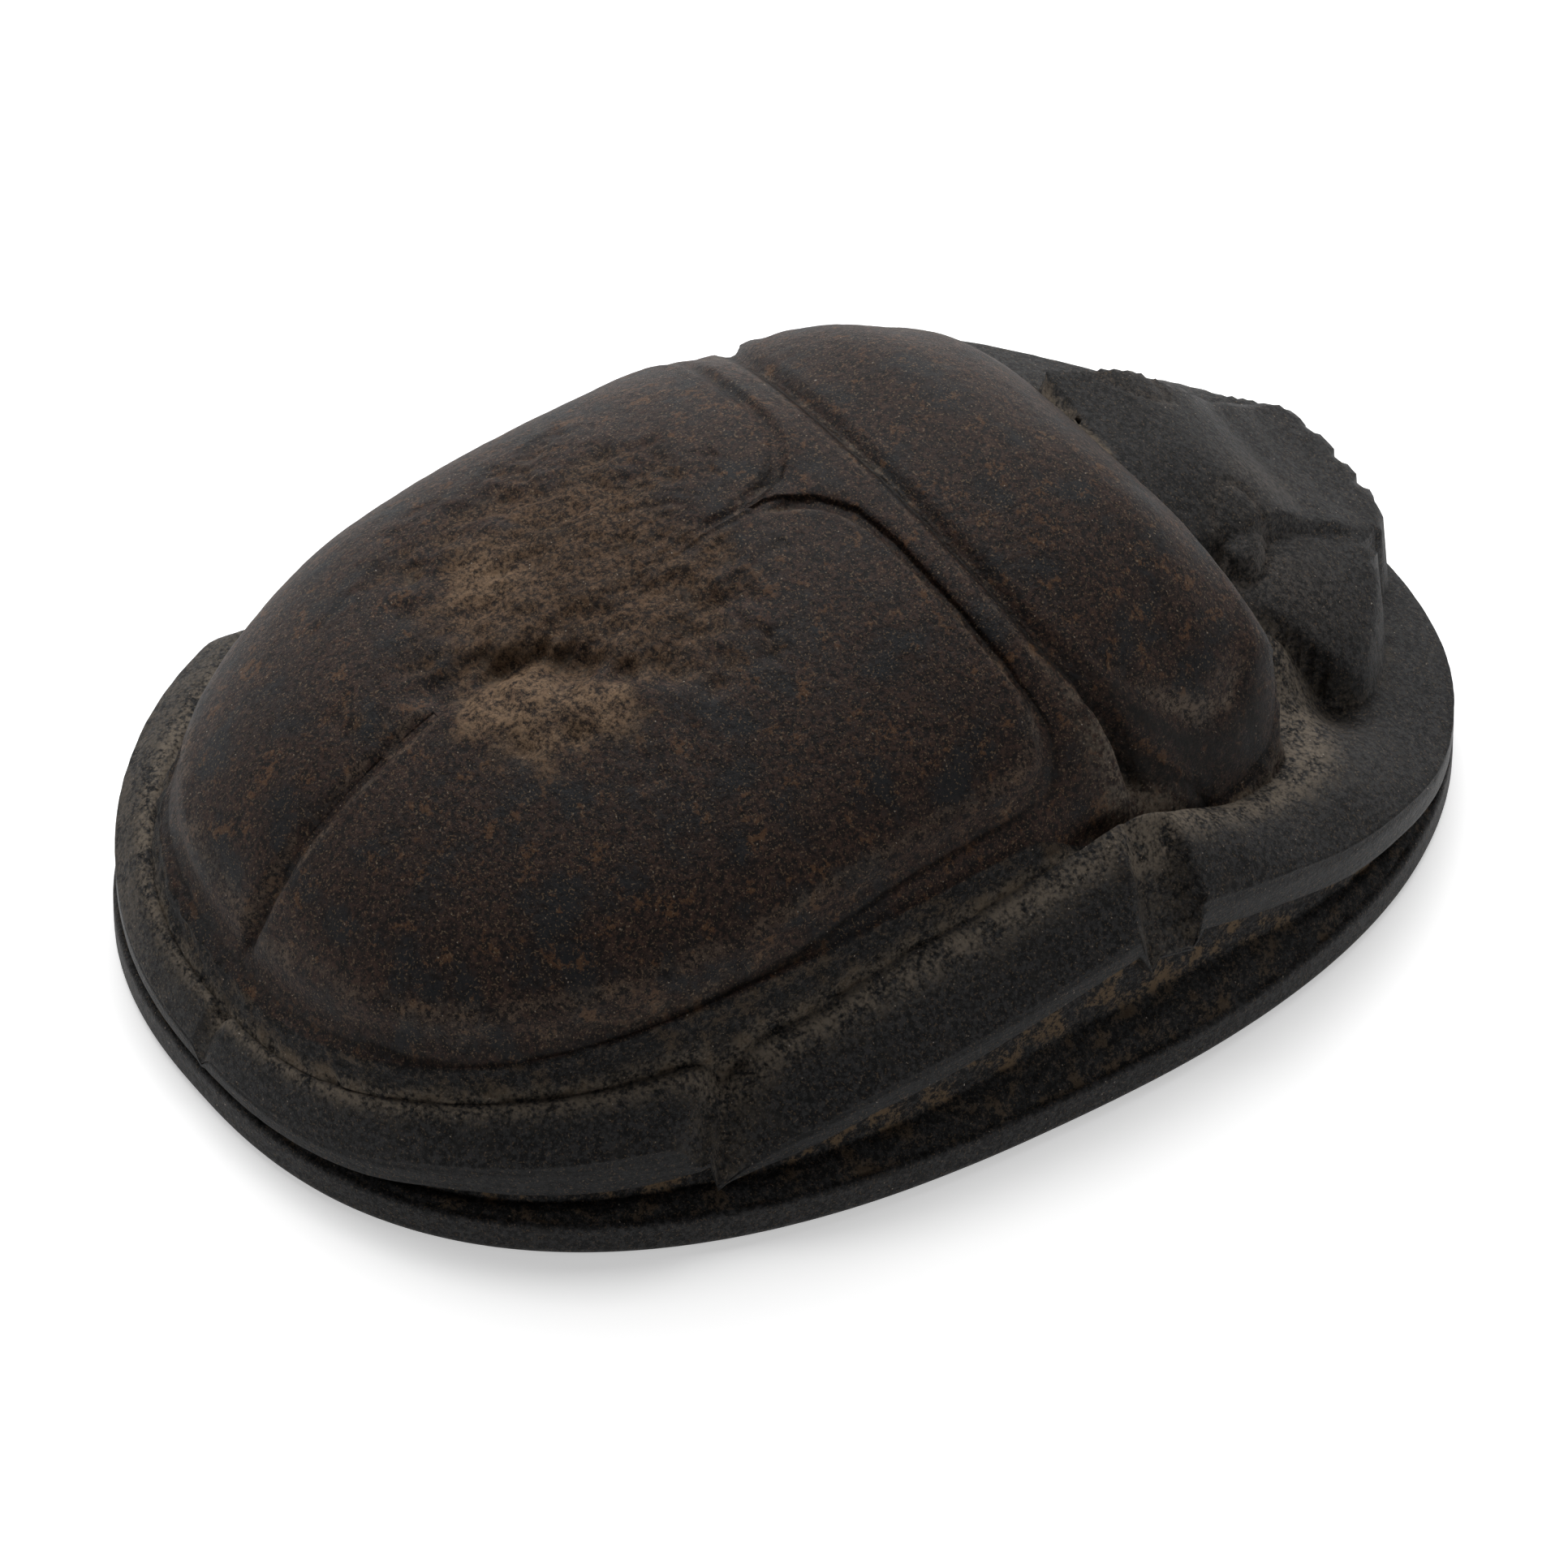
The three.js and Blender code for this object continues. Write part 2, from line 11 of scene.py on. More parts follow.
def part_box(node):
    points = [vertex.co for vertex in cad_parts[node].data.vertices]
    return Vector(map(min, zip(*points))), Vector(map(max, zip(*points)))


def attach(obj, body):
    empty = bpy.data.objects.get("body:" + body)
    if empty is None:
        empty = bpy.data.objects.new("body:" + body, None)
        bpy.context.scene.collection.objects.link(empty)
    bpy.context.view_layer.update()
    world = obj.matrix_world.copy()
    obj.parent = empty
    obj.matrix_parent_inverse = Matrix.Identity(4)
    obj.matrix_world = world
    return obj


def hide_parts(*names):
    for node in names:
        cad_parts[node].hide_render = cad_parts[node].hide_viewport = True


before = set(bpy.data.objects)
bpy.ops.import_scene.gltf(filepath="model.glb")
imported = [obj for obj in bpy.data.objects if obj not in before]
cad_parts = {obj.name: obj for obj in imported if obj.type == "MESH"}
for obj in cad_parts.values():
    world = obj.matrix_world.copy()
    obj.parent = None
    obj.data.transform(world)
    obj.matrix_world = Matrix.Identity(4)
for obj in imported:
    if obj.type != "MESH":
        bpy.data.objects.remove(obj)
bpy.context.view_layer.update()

# ---- Base plate and legs ---------------------------------------------------------------
# One dark stone, ground to shape and polished where fingers could reach, worked out here in
# millimetres with the head towards +Y. Its legs are a band round the body, parted by notches,
# with striated facets outside, and an undercut, unpolished waist over an oval base plate.
MILLIMETRE = 0.001
low_corner, high_corner = (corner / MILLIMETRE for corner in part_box("scarab"))

PLATE_HALF_WIDTH = high_corner.x
PLATE_WIDEST_Y = -0.95
PLATE_FRONT = high_corner.y - PLATE_WIDEST_Y
PLATE_BACK = PLATE_WIDEST_Y - low_corner.y
PLATE_POWER = 2.4
RIM_HEIGHT = 1.7
RIM_ROUND = 0.5
WAIST_DEPTH = 0.75
LEDGE_INSET = 0.25
LEG_SWELL = 0.35
RIDGE_SHARE = 0.16
LEFT_LEG_LIFT = 1.1
LEFT_REAR_LEG_LIFT = 0.6
MIDDLE_LEG_START = -15.2
MIDDLE_LEG_END = 5.0


def between(value, low=0.0, high=1.0):
    return min(max(value, low), high)


def ease(value):
    t = between(value)
    return t * t * (3 - 2 * t)


def bump(distance, width):
    """A smooth hump, 1 at no distance and nearly 0 at twice the width."""
    return math.exp(-((distance / width) ** 2))


def rounded_min(a, b, width):
    overlap = between((width - abs(a - b)) / width)
    return min(a, b) - overlap * overlap * width / 4


def profile(*stations):
    """A smooth line through (y, value) stations, level beyond both ends."""
    ys, values = zip(*stations)
    steps = range(len(ys) - 1)
    slopes = [(values[i + 1] - values[i]) / (ys[i + 1] - ys[i]) for i in steps]
    tangents = [0 if a * b <= 0 else 2 * a * b / (a + b) for a, b in zip(slopes, slopes[1:])]
    tangents = [slopes[0]] + tangents + [slopes[-1]]

    def value(y):
        if y <= ys[0] or y >= ys[-1]:
            return values[0] if y <= ys[0] else values[-1]
        i = bisect.bisect_right(ys, y) - 1
        span = ys[i + 1] - ys[i]
        t = (y - ys[i]) / span
        start = (1 + 2 * t) * (1 - t) ** 2 * values[i]
        end = t * t * (3 - 2 * t) * values[i + 1]
        return start + end + t * (1 - t) * span * ((1 - t) * tangents[i] - t * tangents[i + 1])

    return value


rear_leg_height = profile((-28, 2.6), (-26, 3.3), (-24, 4.1), (-20, 4.8), (-16, 5.2))
middle_leg_height = profile((-16, 2.6), (-15, 3.4), (-11, 4.7), (-8, 5.6), (-4, 6.1), (2, 7), (5, 7.5))
front_leg_height = profile((5, 8.2), (8.5, 7.2), (12, 6.4), (15, 5.5), (18, 4.8), (24, 3.1), (28, 2.6))
leg_ridge_height = profile(
    (-28, 3.2), (-25, 5.2), (-22, 5.9), (-16, 6.6), (-13, 7.0), (-9, 7.7), (-5.7, 8.6),
    (-1.8, 9.2), (1.2, 9.8), (3.5, 10.3), (5.5, 10.6), (8, 9.5), (10.7, 7.9), (13.3, 7.1), (16, 6.7),
)
leg_inset = profile(
    (-28, 0.1), (-22, 0.2), (-16, 0.5), (-8, 0.6), (3.5, 1.0), (8, 0.9), (13, 0.5), (18, 0.15), (22, 0),
)
facet_height = profile(
    (-28, 0.7), (-24, 1.2), (-18, 1.7), (-15.3, 1.5), (-15, 0.8), (-8, 1.0),
    (4.5, 1.0), (5.5, 1.4), (13, 1.6), (20, 1.3), (28, 0.7),
)
ledge_height = profile(
    (-28, 1.7), (-15, 2.3), (-8, 2.6), (2, 3.3), (8, 3.3), (14, 2.6), (22, 2.0), (28, 1.8),
)


def leg_height(x, y):
    if y < MIDDLE_LEG_START:
        return rear_leg_height(y) + LEFT_REAR_LEG_LIFT * ease(-x / 12)
    if y < MIDDLE_LEG_END:
        return middle_leg_height(y)
    return front_leg_height(y) + LEFT_LEG_LIFT * ease(-x / 12) * ease((y - 8) / 8)


def plate_oval(turn, inset):
    """A point of the plate's outline, moved in: turn 0 is the right flank, a quarter the head."""
    sideways, forward = math.cos(turn), math.sin(turn)
    power = 2 / PLATE_POWER
    length = (PLATE_FRONT if forward > 0 else PLATE_BACK) - inset
    x = (PLATE_HALF_WIDTH - inset) * math.copysign(abs(sideways) ** power, sideways)
    y = PLATE_WIDEST_Y + length * math.copysign(abs(forward) ** power, forward)
    return Vector((x, y))


def beside_line(x, y, start, end):
    """How far a point lies to the left of a line, and what share of the way along it."""
    way = Vector(end) - Vector(start)
    unit = way.normalized()
    dx, dy = x - start[0], y - start[1]
    return dy * unit.x - dx * unit.y, (dx * unit.x + dy * unit.y) / way.length


KNEE_START, KNEE_END = (14.6, -12.4), (18.8, -17.2)
KNEE_DEPTH = 1.35
KNEE_GENTLE_WIDTH = 3.2
KNEE_STEEP_WIDTH = 1.2
NOTCH_REAR = ((15.8, 5.2), (19.9, 3.9))
NOTCH_FRONT = ((16.4, 7.6), (19.9, 7.3))
NOTCH_DEPTH = 2.3
NOTCH_INNER_X = 15.7
TAIL_NOTCH_X = 0.15
TAIL_NOTCH_DEPTH = 0.75
TAIL_NOTCH_HALF_WIDTH = 0.5
TAIL_NOTCH_START_Y = -25.0


def leg_cuts(x, y):
    """What is carved away between the legs: the knee creases, front notches and tail notch."""
    side = abs(x)
    off, along = beside_line(side, y, KNEE_START, KNEE_END)
    gentle = between(1 - off / KNEE_GENTLE_WIDTH) ** 1.6
    steep = 1 - math.sqrt(1 - between(1 + off / KNEE_STEEP_WIDTH) ** 2)
    knee = KNEE_DEPTH * ease((along + 0.05) / 0.15) * (gentle if off > 0 else steep)
    behind, _ = beside_line(side, y, *NOTCH_REAR)
    ahead, _ = beside_line(side, y, *NOTCH_FRONT)
    inside = min(rounded_min(behind, -ahead, 0.3), side - NOTCH_INNER_X)
    notch = NOTCH_DEPTH * ease(inside / 0.5) * between((side - NOTCH_INNER_X + 0.3) / 2.8)
    tail = TAIL_NOTCH_DEPTH * between(1 - abs(x - TAIL_NOTCH_X) / TAIL_NOTCH_HALF_WIDTH) ** 0.7
    return knee + notch + tail * ease((TAIL_NOTCH_START_Y - y) / 0.6)


# ---- Back: wing cases, collar and thorax --------------------------------------------------
# The domed back is part of the same stone. Two wing cases meet at an incised suture behind a
# small triangular shield, and a narrow collar parts them from the broad thorax. Each of them
# is a low cushion inside an incised line, on a flange that stands over the legs.
FLANGE_HALF_WIDTH = 15.6
FLANGE_BACK = 23.3
WING_WIDEST_Y = -3.0
WING_POWER = 2.6
WING_RISE = 0.6
WING_EDGE_SHARE = 0.75
WING_LINE_OFFSET = 0.28
WING_LINE_DEPTH = 0.12
WING_LINE_WIDTH = 0.32
WING_CORNER = 3.4
SUTURE_HALF_WIDTH = 0.27
SUTURE_WEAR = 0.55
SHIELD_CORNER = 4.5
LEFT_FRONT_WEAR = 0.7
THORAX_REAR_Y = 3.6
THORAX_SKEW = 0.035
THORAX_FRONT_Y = 14.6
THORAX_REAR_BOW = 0.011
THORAX_FRONT_BOW = 0.0085
THORAX_FRONT_CORNER = 5.0
THORAX_REAR_CORNER = 6.5
THORAX_RISE = 0.75
THORAX_EDGE_SHARE = 0.3
THORAX_LINE_OFFSET = 0.3
THORAX_LINE_DEPTH = 0.2
THORAX_LINE_WIDTH = 0.42
THORAX_RIM = 0.9
THORAX_RIM_START_X = 10.5
THORAX_RIM_DEPTH = 0.2
THORAX_RIM_WIDTH = 0.35
THORAX_ROLL = 2.2
THORAX_ROLL_WIDTH = 3.0
THORAX_ROLL_START_Y = 1.0
THORAX_LEAN = 0.08
THORAX_SINK = 0.15
LEFT_TAIL_SINK = 0.5
COLLAR_WIDTH = 2.25
COLLAR_DROP = 0.5
COLLAR_LIFT = 0.28
COLLAR_END_X = 9.0
SADDLE_HEIGHT = 10.5
SADDLE_START_X = 11.5
SADDLE_CORNER = 3.0

spine_height = profile(
    (-26.3, 6.4), (-25.2, 7.6), (-23.7, 10.1), (-20.2, 13.2), (-16.4, 15.3), (-10, 17.4),
    (-3, 18.7), (3, 19.3), (7, 19.2), (11, 17.9), (14.5, 14.9), (16, 13),
)
flange_height = profile(
    (-26.3, 6.4), (-25.2, 7.2), (-21, 8.2), (-17.6, 9), (-12, 10.2), (-5, 11.1),
    (-1, 11.5), (3, 11.9), (5.5, 12), (8, 10.9), (10.7, 9.3), (13.3, 8.9), (15.7, 9.6),
)
shoulder_power = profile((-26, 2), (3, 2), (9, 2.3), (15, 3.4))
shoulder_fall = profile((-26, 0.6), (-10, 0.66), (3, 0.8), (9, 1.0), (15, 1.15))


def back_height(x, y):
    """The smooth dome of the back, uncarved, a little lower on the left at both ends."""
    behind = min(y - WING_WIDEST_Y, 0) / (FLANGE_BACK - 0.1)
    taper = between(1 - abs(behind) ** WING_POWER) ** (1 / WING_POWER)
    across = between(abs(x) / max((FLANGE_HALF_WIDTH - 0.2) * taper, 0.01))
    spine = spine_height(y)
    edge = min(flange_height(y), spine)
    dome = edge + (spine - edge) * (1 - across ** shoulder_power(y)) ** shoulder_fall(y)
    lean = (THORAX_LEAN * min(x, 6) - THORAX_SINK) * ease((y - 7) / 7)
    return dome + lean - LEFT_TAIL_SINK * ease((-x - 4) / 8) * ease((-y - 12) / 8)


wing_inset = profile(
    (-26, 0.6), (-24, 0.5), (-22, 0.42), (-15, 0.42), (-11, 0.55), (-7, 0.8), (-3, 1.0), (2, 1.1),
)
body_half_width = profile((3, 15.6), (7, 15.3), (10, 14.7), (13, 14.1))


def inside_oval(x, y):
    behind = min(y - WING_WIDEST_Y, 0)
    total = (abs(x) / FLANGE_HALF_WIDTH) ** WING_POWER + abs(behind / FLANGE_BACK) ** WING_POWER
    return (1 - total ** (1 / WING_POWER)) * FLANGE_HALF_WIDTH


def thorax_rear(x):
    return THORAX_REAR_Y + THORAX_SKEW * x + THORAX_REAR_BOW * x * x


def thorax_front(x):
    return THORAX_FRONT_Y + THORAX_FRONT_BOW * x * x


def inside_body(x, y):
    side = min(inside_oval(x, y), body_half_width(y) - abs(x))
    return rounded_min(side, thorax_front(x) - y, THORAX_FRONT_CORNER)


def inside_wing_pair(x, y):
    front = thorax_rear(x) - COLLAR_WIDTH - y
    return rounded_min(inside_oval(x, y) - wing_inset(y), front, WING_CORNER)


def inside_wing_case(x, y):
    shield_corner = 0.2 + SHIELD_CORNER * ease((y + 9) / 8)
    return rounded_min(inside_wing_pair(x, y), abs(x) - SUTURE_HALF_WIDTH, shield_corner)


def inside_thorax(x, y):
    side = body_half_width(y) - abs(x)
    rear = rounded_min(side, y - thorax_rear(x), THORAX_REAR_CORNER)
    return rounded_min(rear, thorax_front(x) - y, THORAX_FRONT_CORNER)


def left_front(x, y):
    """1 along the front of the left wing case, whose line is all but worn away."""
    return ease(-x / 2) * ease((y + 10) / 4)


def carving(x, y):
    """How far the wing cases and thorax stand out of the dome, and how deep their lines are cut."""
    wing = inside_wing_case(x, y)
    thorax = inside_thorax(x, y)
    suture = ease((0.7 - abs(x)) / 0.3) * ease(inside_wing_pair(x, y) - 1)
    worn = max(LEFT_FRONT_WEAR * left_front(x, y), SUTURE_WEAR * suture)
    step = WING_EDGE_SHARE * ease((wing + 0.1) / 0.4)
    step += worn * (WING_EDGE_SHARE * ease((wing + 1.5) / 1.5) - step)
    lift = WING_RISE * (step + (1 - WING_EDGE_SHARE) * ease(wing / 2.5))
    collar = ease(-0.1 - wing / 0.5) * ease(-0.1 - thorax / 0.5) * ease((y + 10) / 5)
    lift += COLLAR_LIFT * collar * (1 - ease((abs(x) - COLLAR_END_X) / 4))
    lift -= (1 - worn) * WING_LINE_DEPTH * bump(wing + WING_LINE_OFFSET, WING_LINE_WIDTH)
    step = THORAX_EDGE_SHARE * ease((thorax + 0.1) / 0.8)
    lift += THORAX_RISE * (step + (1 - THORAX_EDGE_SHARE) * ease(thorax / 4.5))
    if y < thorax_rear(x) + 1:
        lift -= THORAX_LINE_DEPTH * bump(thorax + THORAX_LINE_OFFSET, THORAX_LINE_WIDTH)
    flank = ease((abs(x) - THORAX_RIM_START_X) / 2.5) * ease((thorax_front(x) - 1.5 - y) / 2)
    lift -= flank * THORAX_RIM_DEPTH * bump(thorax - THORAX_RIM, THORAX_RIM_WIDTH)
    return lift


def carved_back(x, y):
    """The dome's height, with the low saddle behind the thorax's outer corners let into it."""
    height = back_height(x, y) - COLLAR_DROP
    flange = rounded_min(inside_oval(x, y), thorax_rear(x) - y, SADDLE_CORNER)
    outside = -max(flange, inside_thorax(x, y))
    beside = ease((abs(x) - SADDLE_START_X) / 2)
    from_middle = 1 - between(inside_body(x, y) / THORAX_ROLL_WIDTH)
    rolled = THORAX_ROLL * (1 - math.sqrt(1 - from_middle ** 2))
    rolled *= beside * ease((y - THORAX_ROLL_START_Y) / 4)
    return height - beside * max(height - SADDLE_HEIGHT, 0) * ease(outside / 0.6) - rolled


# ---- Head --------------------------------------------------------------------------------
# The head is a raised middle that runs out into a notched shovel, with a flat plate and a
# lens-shaped eye on each side. It stands over the front legs, a little higher on its left.
HEAD_LEAN = 0.11
SHOVEL_CENTRE_X = -0.4
SHOVEL_HALF_WIDTH = 4.75
SHOVEL_TIP_Y = 27.5
SHOVEL_BOW = 1.8
SHOVEL_CREASE_Y = 22.8
SHOVEL_CREASE_DEPTH = 0.3
HEAD_REAR_Y = 12.0
HEAD_CORNER = 1.0
PLATE_CORNER_Y = 25.3
TEETH = (-4.3, -2.6, -0.7, 0.9, 4.35, 5.6)
TOOTH_DEPTH = 0.38
TOOTH_WIDTH = 0.22
EYE_CENTRE = (4.4, 18.8)
EYE_HALF_WIDTH = 0.95
EYE_HALF_LENGTH = 1.9
EYE_TURN = math.radians(-30)
EYE_LIFT = 0.55
EYE_RISE = 0.3
EYE_RING = 1.14
EYE_RING_DEPTH = 0.16
CHEEK = (10.3, 19.3)
CHEEK_RADIUS = 1.3
LEFT_CHEEK_SHARE = 0.3
RUBBED_ROOT = (1.6, 21.6)
RUBBED_PLATE = (6.4, 19.6)

head_plate_height = profile((14, 11.1), (18, 10.6), (20.6, 9.8), (23.8, 8.3), (25.5, 7.7), (28, 7.0))
head_middle_height = profile((13, 14.4), (16, 13.4), (19, 12.3), (22, 10.2), (25, 7.9), (27.2, 6.9))
head_side = profile((12, 7.6), (17.6, 7.7), (20.4, 10.1), (21.5, 10.1), (23, 9.3), (25, 6.5), (28, 5.5))
head_middle_side = profile((13, 5.2), (19, 4.6), (22, 3.9), (25, 4.1), (27, 4.4))


def head_front(x):
    from_centre = abs(x - SHOVEL_CENTRE_X) / SHOVEL_HALF_WIDTH
    shovel = SHOVEL_TIP_Y - SHOVEL_BOW * from_centre ** 4
    beyond = max(abs(x) - 5, 0)
    plate = PLATE_CORNER_Y - 0.5 * beyond - 0.045 * beyond ** 2
    teeth = sum(TOOTH_DEPTH * bump(x - tooth, TOOTH_WIDTH) for tooth in TEETH)
    return max(shovel, plate if beyond > 0 else 0) - teeth


def inside_head(x, y):
    plan = rounded_min(head_front(x) - y, head_side(y) - abs(x), HEAD_CORNER)
    return min(plan, y - HEAD_REAR_Y)


def from_eye(x, y):
    """How far out from the middle of the nearer eye a point lies, where 1 is the eye's edge."""
    dx, dy = abs(x) - EYE_CENTRE[0], y - EYE_CENTRE[1]
    along = (dx * math.cos(EYE_TURN) + dy * math.sin(EYE_TURN)) / EYE_HALF_LENGTH
    across = (dy * math.cos(EYE_TURN) - dx * math.sin(EYE_TURN)) / EYE_HALF_WIDTH
    return math.hypot(along, across)


def head_height(x, y):
    side = abs(x)
    plates = head_plate_height(y) - 0.075 * max(side - 4.5, 0) ** 2 - HEAD_LEAN * max(x, 0)
    middle = head_middle_height(y) - 0.05 * max(x, 0) ** 2 * between((24 - y) / 6) - HEAD_LEAN * x
    middle -= SHOVEL_CREASE_DEPTH * bump(y - SHOVEL_CREASE_Y, 0.8)
    height = plates + (middle - plates) * ease((head_middle_side(y) - side) / 0.4 + 0.5)
    eye = from_eye(x, y)
    lens = plates + EYE_LIFT + EYE_RISE * math.sqrt(max(1 - eye ** 2, 0))
    height += max(lens - height, 0) * ease((1.06 - eye) / 0.12)
    return height - EYE_RING_DEPTH * bump(eye - EYE_RING, 0.13)


def rubbed(x, y):
    """How pale handling has rubbed the head: the shovel's root, the plates and the eye rims."""
    root = bump(math.hypot(x - RUBBED_ROOT[0], y - RUBBED_ROOT[1]), 1.3)
    plate = 0.7 * bump(math.hypot(abs(x) - RUBBED_PLATE[0], y - RUBBED_PLATE[1]), 2.4)
    rim = bump(from_eye(x, y) - 1.12, 0.2)
    return between(root + plate + rim)


def cheek(x, y):
    """1 in the hollow under the rear edge of the right plate, less on the left, 0 away from them."""
    hollow = bump(math.hypot(abs(x) - CHEEK[0], y - CHEEK[1]), CHEEK_RADIUS)
    return hollow * (1 if x > 0 else LEFT_CHEEK_SHARE)


# ---- Break in the back -------------------------------------------------------------------
# The crown of the back has been knocked and has flaked away across both wing cases. What is
# left is a shallow rough dish with a deep gully and a few pits, showing the paler inside.
BREAK_CENTRE = (-1.9, -9.2)
BREAK_HALF_WIDTH = 9.4
BREAK_HALF_LENGTH = 8.6
BREAK_DEPTH = 0.4
BREAK_UNEVENNESS = 0.34
PALE_SPOTS = (
    (-4.4, -11.7, 1.8), (3.9, -13.8, 2.2), (1.4, -15.4, 1.7), (4.8, -11.4, 1.7), (0.9, -12.9, 1.2),
)
GULLY = ((-1.2, -14.3), (2.3, -10.6))
GULLY_DEPTH = 0.8
PITS = ((-1.0, -15.9, 0.8), (3.5, -10.2, 0.6), (5.1, -13.1, 0.45))
PIT_DEPTH = 0.45


def broken(x, y):
    """How far inside the break a point lies: 0 at its ragged edge, 1 well inside."""
    dx = (x - BREAK_CENTRE[0]) / BREAK_HALF_WIDTH
    dy = (y - BREAK_CENTRE[1]) / BREAK_HALF_LENGTH
    around = math.atan2(dy, dx)
    ragged = 0.28 * noise.noise(Vector((x / 4.5, y / 4.5, 3)))
    ragged += 0.3 * noise.fractal(Vector((x / 1.8, y / 1.8, 7)), 0.8, 2, 3)
    edge = 1 + 0.05 * math.sin(3 * around + 0.6) + ragged
    return between((edge - math.hypot(dx, dy)) / 0.6)


def pale(x, y):
    """How pale the freshly flaked stone is: most along the gully and at the lower edge."""
    return between(sum(bump(math.hypot(x - at_x, y - at_y), size) for at_x, at_y, size in PALE_SPOTS))


def break_depth(x, y):
    """How much has flaked away: an uneven dish, with the gully and the pits cut into it."""
    inside = broken(x, y)
    if inside == 0:
        return 0
    depth = BREAK_DEPTH * ease(inside)
    depth += inside * BREAK_UNEVENNESS * noise.fractal(Vector((x / 2.4, y / 2.4, 1)), 0.85, 2.1, 6)
    off, along = beside_line(x, y, *GULLY)
    wander = 0.7 * noise.fractal(Vector((x / 1.6, y / 1.6, 5)), 0.9, 2, 3)
    ends = ease((along + 0.25) / 0.5) * ease((1.25 - along) / 0.5)
    depth += GULLY_DEPTH * ends * bump(max(off + wander, 0), 0.4) * bump(min(off + wander, 0), 1.3)
    for pit_x, pit_y, size in PITS:
        depth += PIT_DEPTH * bump(math.hypot(x - pit_x, y - pit_y) + 0.4 * wander, size)
    return depth


# ---- The stone as one surface --------------------------------------------------------------
# One closed skin of evenly spaced columns, each running from the crown over the body, down
# its wall, over the leg, facet, waist and ledge, and round the rim to the flat underside.
COLUMNS = 480
DOME_ROWS = 96
WALL_ROWS = 13
BAND_ROWS = 42
FACET_ROWS = 8
UNDERCUT_ROWS = 3
WAIST_ROWS = 5
LEDGE_ROWS = 14
RIM_ROWS = 11
UNDERSIDE_ROWS = 4
ROWS = DOME_ROWS + WALL_ROWS + BAND_ROWS + FACET_ROWS + UNDERCUT_ROWS + WAIST_ROWS
ROWS += LEDGE_ROWS + RIM_ROWS + UNDERSIDE_ROWS
CROWN = Vector((0, PLATE_WIDEST_Y))
BREAK_WEAR = 0.9
LEG_DIP = 0.12
CHEEK_DEPTH = 0.8
CHEEK_MOUND = (8.2, 17.4)
RIGHT_MOUND_RISE = 2.3
LEFT_MOUND_RISE = 1.2
BODY_EDGE_ROUND = 0.12
WALL_SPREAD = 0.4
UNDERCUT_DROP = 0.1
LEDGE_SWELL = 0.12
RIM_TOP_SHARE = 0.3
RIM_FACE_SHARE = 0.6


def reach(inside, start, direction):
    """Walks out from a point to where a region ends."""
    near, far = 0.0, 40.0
    for _ in range(26):
        half = (near + far) / 2
        point = start + direction * half
        if inside(point.x, point.y) > 0:
            near = half
        else:
            far = half
    return start + direction * near


def even_turns(count):
    """Turns that split the plate's outline into equal lengths."""
    fine = count * 10
    turns = [2 * math.pi * i / fine for i in range(fine + 1)]
    points = [plate_oval(turn, 0) for turn in turns]
    lengths = [0.0]
    for before, after in zip(points, points[1:]):
        lengths.append(lengths[-1] + (after - before).length)
    picked = [bisect.bisect_left(lengths, lengths[-1] * i / count) for i in range(count)]
    return [turns[i] for i in picked]


def back_lift(x, y):
    """The carving of the back, flaked away where it is broken."""
    lost = BREAK_WEAR * broken(x, y)
    return carving(x, y) * (1 - lost) + WING_RISE * lost - break_depth(x, y)


def leg_top(root, root_height, edge, edge_height, share):
    """The top of a leg between the body and its outer edge, with a dip beside the body."""
    height = root_height + (edge_height - root_height) * share + LEG_SWELL * math.sin(math.pi * share)
    height -= LEG_DIP * (1 - ease(share / RIDGE_SHARE))
    x, y = root.lerp(edge, share)
    mound = bump(math.hypot(abs(x) - CHEEK_MOUND[0], y - CHEEK_MOUND[1]), 1.7)
    mound *= RIGHT_MOUND_RISE if x > 0 else LEFT_MOUND_RISE
    return height - leg_cuts(x, y) - CHEEK_DEPTH * cheek(x, y) + mound


def over_leg(root, root_height, edge, edge_height, share):
    """The surface outside the body: the leg, or the head where that stands higher."""
    x, y = root.lerp(edge, share)
    leg = leg_top(root, root_height, edge, edge_height, share)
    inside = inside_head(x, y)
    if inside < -0.4:
        return leg
    head = head_height(x, y) - 0.25 * bump(max(inside, 0), 0.3)
    return leg + max(head - leg, 0) * ease((inside + 0.12) / (0.22 + 0.1 * cheek(x, y)))


